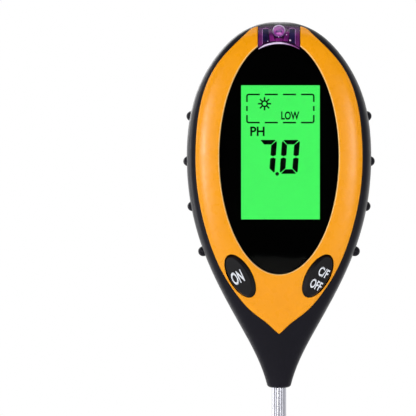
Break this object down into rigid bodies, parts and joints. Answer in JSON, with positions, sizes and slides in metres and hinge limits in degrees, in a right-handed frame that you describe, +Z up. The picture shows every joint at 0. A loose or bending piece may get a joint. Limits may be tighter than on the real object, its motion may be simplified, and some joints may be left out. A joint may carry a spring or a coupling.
{
  "type": "soil moisture meter",
  "caption": "Handheld digital soil meter with a leaf-shaped case, oval display window, slanted oval keys, crown light sensor and a long pointed metal probe.",
  "frame": {"origin": "where the probe's axis leaves the flat end of the case's nose", "axes": "+Z up along the case, -Y the way the display faces, probe pointing down along -Z"},
  "size_m": [0.0638, 0.0362, 0.322],
  "materials": {
    "case": "fine satin",
    "bezel": "satin, amber orange",
    "window": "gloss, smoked clear",
    "print": "flat black ink",
    "pane": "clear",
    "backlight": "lit green",
    "lamp": "moulded",
    "contact_rubber": "banded",
    "frame": "moulded white",
    "board": "green lacquer",
    "chip": "moulded epoxy",
    "key": "satin black with white legends",
    "legend": "printed white",
    "segment": "dark liquid crystal",
    "switch": "moulded",
    "sensor_cover": "purple translucent gloss",
    "sensor": "clear epoxy dome",
    "wire_metal": "tinned",
    "battery": "printed jacket, plain",
    "contact_metal": "nickel plated",
    "clip": "soft vinyl",
    "red_wire": "insulated",
    "black_wire": "insulated",
    "screw": "zinc plated",
    "probe": "polished drawn tube",
    "insulator": "moulded",
    "collar": "turned"
  },
  "bodies": {
    "case": {"front_shell": "case", "rear_shell": "case", "bezel": "bezel", "display_window": "window", "window_mask": "print", "front_glass": "pane", "rear_glass": "pane", "front_polariser": "pane", "rear_polariser": "pane", "backlight_panel": "backlight", "backlight_lamps": "lamp", "contact_strip": "contact_rubber", "display_frame": "frame", "main_board": "board", "controller_chip": "chip", "board_parts": "chip", "on_switch": "switch", "off_switch": "switch", "sensor_cover": "sensor_cover", "light_sensor": "sensor", "sensor_leads": "wire_metal", "battery": "battery", "battery_terminals": "contact_metal", "battery_clip": "clip", "clip_contacts": "contact_metal", "red_battery_lead": "red_wire", "black_battery_lead": "black_wire", "case_screws": "screw", "board_screws": "screw", "probe_tube": "probe", "probe_ring": "insulator", "probe_tip": "probe", "probe_collar": "collar", "tip_lead": "red_wire", "tube_lead": "black_wire"},
    "on_button": {"on_key": "key", "on_plunger": "switch"},
    "off_button": {"off_key": "key", "off_plunger": "switch"},
    "rear_door": {"battery_door": "case"}
  },
  "joints": [
    {"name": "on_press", "type": "slide", "parent": "case", "child": "on_button", "axis": [0, 1, 0], "range_m": [0, 0.0005], "stiffness_N_per_m": 1500, "springref_m": -0.0005},
    {"name": "off_press", "type": "slide", "parent": "case", "child": "off_button", "axis": [0, 1, 0], "range_m": [0, 0.0005], "stiffness_N_per_m": 1500, "springref_m": -0.0005},
    {"name": "door_tilt", "type": "hinge", "parent": "case", "child": "rear_door", "pos_m": [0, 0.02006, 0.10456], "axis": [1, 0, 0], "range_deg": [0, 45]}
  ]
}
